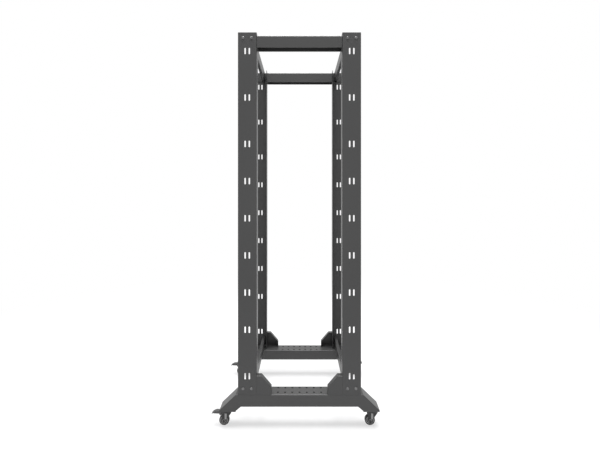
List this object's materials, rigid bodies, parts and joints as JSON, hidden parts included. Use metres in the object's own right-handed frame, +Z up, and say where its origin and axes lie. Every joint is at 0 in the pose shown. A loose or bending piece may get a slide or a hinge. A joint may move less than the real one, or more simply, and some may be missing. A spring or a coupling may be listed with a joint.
{
  "type": "four post open frame rack",
  "caption": "Open four-post floor rack for 19 inch equipment: punched steel channel posts on a splayed base with swivel casters, front ones braked.",
  "frame": {"origin": "on the floor, midway between the four caster swivel axes, under the middle of the posts", "axes": "+X runs from the rack's front to its rear, +Y from its right side to its left side, +Z up"},
  "size_m": [0.813, 0.554, 1.8986],
  "materials": {
    "black_powder_coat": "fine textured matt",
    "caster_steel": "satin",
    "pedal_steel": "satin",
    "hub_plastic": "matt",
    "tyre_rubber": "matt"
  },
  "bodies": {
    "rack": {"post_front_left": "black_powder_coat", "post_front_right": "black_powder_coat", "post_rear_left": "black_powder_coat", "post_rear_right": "black_powder_coat", "top_side_beam_left": "black_powder_coat", "top_side_beam_right": "black_powder_coat", "top_cross_beam_front": "black_powder_coat", "top_cross_beam_rear": "black_powder_coat", "bottom_cross_beam_front": "black_powder_coat", "bottom_cross_beam_rear": "black_powder_coat", "base_left": "black_powder_coat", "base_right": "black_powder_coat", "gusset_front_left": "black_powder_coat", "gusset_front_right": "black_powder_coat", "gusset_rear_left": "black_powder_coat", "gusset_rear_right": "black_powder_coat", "foot_plate_front_left": "black_powder_coat", "foot_plate_front_right": "black_powder_coat", "foot_plate_rear_left": "black_powder_coat", "foot_plate_rear_right": "black_powder_coat", "kingpin_front_left": "caster_steel", "kingpin_front_right": "caster_steel", "kingpin_rear_left": "caster_steel", "kingpin_rear_right": "caster_steel"},
    "swivel_front_left": {"caster_fork_front_left": "caster_steel"},
    "wheel_front_left": {"wheel_hub_front_left": "hub_plastic", "wheel_tyre_front_left": "tyre_rubber"},
    "swivel_front_right": {"caster_fork_front_right": "caster_steel"},
    "wheel_front_right": {"wheel_hub_front_right": "hub_plastic", "wheel_tyre_front_right": "tyre_rubber"},
    "swivel_rear_left": {"caster_fork_rear_left": "caster_steel"},
    "wheel_rear_left": {"wheel_hub_rear_left": "hub_plastic", "wheel_tyre_rear_left": "tyre_rubber"},
    "swivel_rear_right": {"caster_fork_rear_right": "caster_steel"},
    "wheel_rear_right": {"wheel_hub_rear_right": "hub_plastic", "wheel_tyre_rear_right": "tyre_rubber"},
    "pedal_left": {"brake_pedal_left": "pedal_steel"},
    "pedal_right": {"brake_pedal_right": "pedal_steel"}
  },
  "joints": [
    {"name": "caster_swivel_front_left", "type": "hinge", "parent": "rack", "child": "swivel_front_left", "pos_m": [-0.355, 0.2395, 0.07], "axis": [0, 0, 1], "continuous": true},
    {"name": "wheel_spin_front_left", "type": "hinge", "parent": "swivel_front_left", "child": "wheel_front_left", "pos_m": [-0.367, 0.2395, 0.025], "axis": [0, 1, 0], "continuous": true},
    {"name": "caster_swivel_front_right", "type": "hinge", "parent": "rack", "child": "swivel_front_right", "pos_m": [-0.355, -0.2395, 0.07], "axis": [0, 0, 1], "continuous": true},
    {"name": "wheel_spin_front_right", "type": "hinge", "parent": "swivel_front_right", "child": "wheel_front_right", "pos_m": [-0.367, -0.2395, 0.025], "axis": [0, 1, 0], "continuous": true},
    {"name": "caster_swivel_rear_left", "type": "hinge", "parent": "rack", "child": "swivel_rear_left", "pos_m": [0.355, 0.2395, 0.07], "axis": [0, 0, 1], "continuous": true},
    {"name": "wheel_spin_rear_left", "type": "hinge", "parent": "swivel_rear_left", "child": "wheel_rear_left", "pos_m": [0.343, 0.2395, 0.025], "axis": [0, 1, 0], "continuous": true},
    {"name": "caster_swivel_rear_right", "type": "hinge", "parent": "rack", "child": "swivel_rear_right", "pos_m": [0.355, -0.2395, 0.07], "axis": [0, 0, 1], "continuous": true},
    {"name": "wheel_spin_rear_right", "type": "hinge", "parent": "swivel_rear_right", "child": "wheel_rear_right", "pos_m": [0.343, -0.2395, 0.025], "axis": [0, 1, 0], "continuous": true},
    {"name": "brake_press_left", "type": "hinge", "parent": "swivel_front_left", "child": "pedal_left", "pos_m": [-0.372, 0.2395, 0.062], "axis": [0, -1, 0], "range_deg": [0, 9]},
    {"name": "brake_press_right", "type": "hinge", "parent": "swivel_front_right", "child": "pedal_right", "pos_m": [-0.372, -0.2395, 0.062], "axis": [0, -1, 0], "range_deg": [0, 9]}
  ]
}
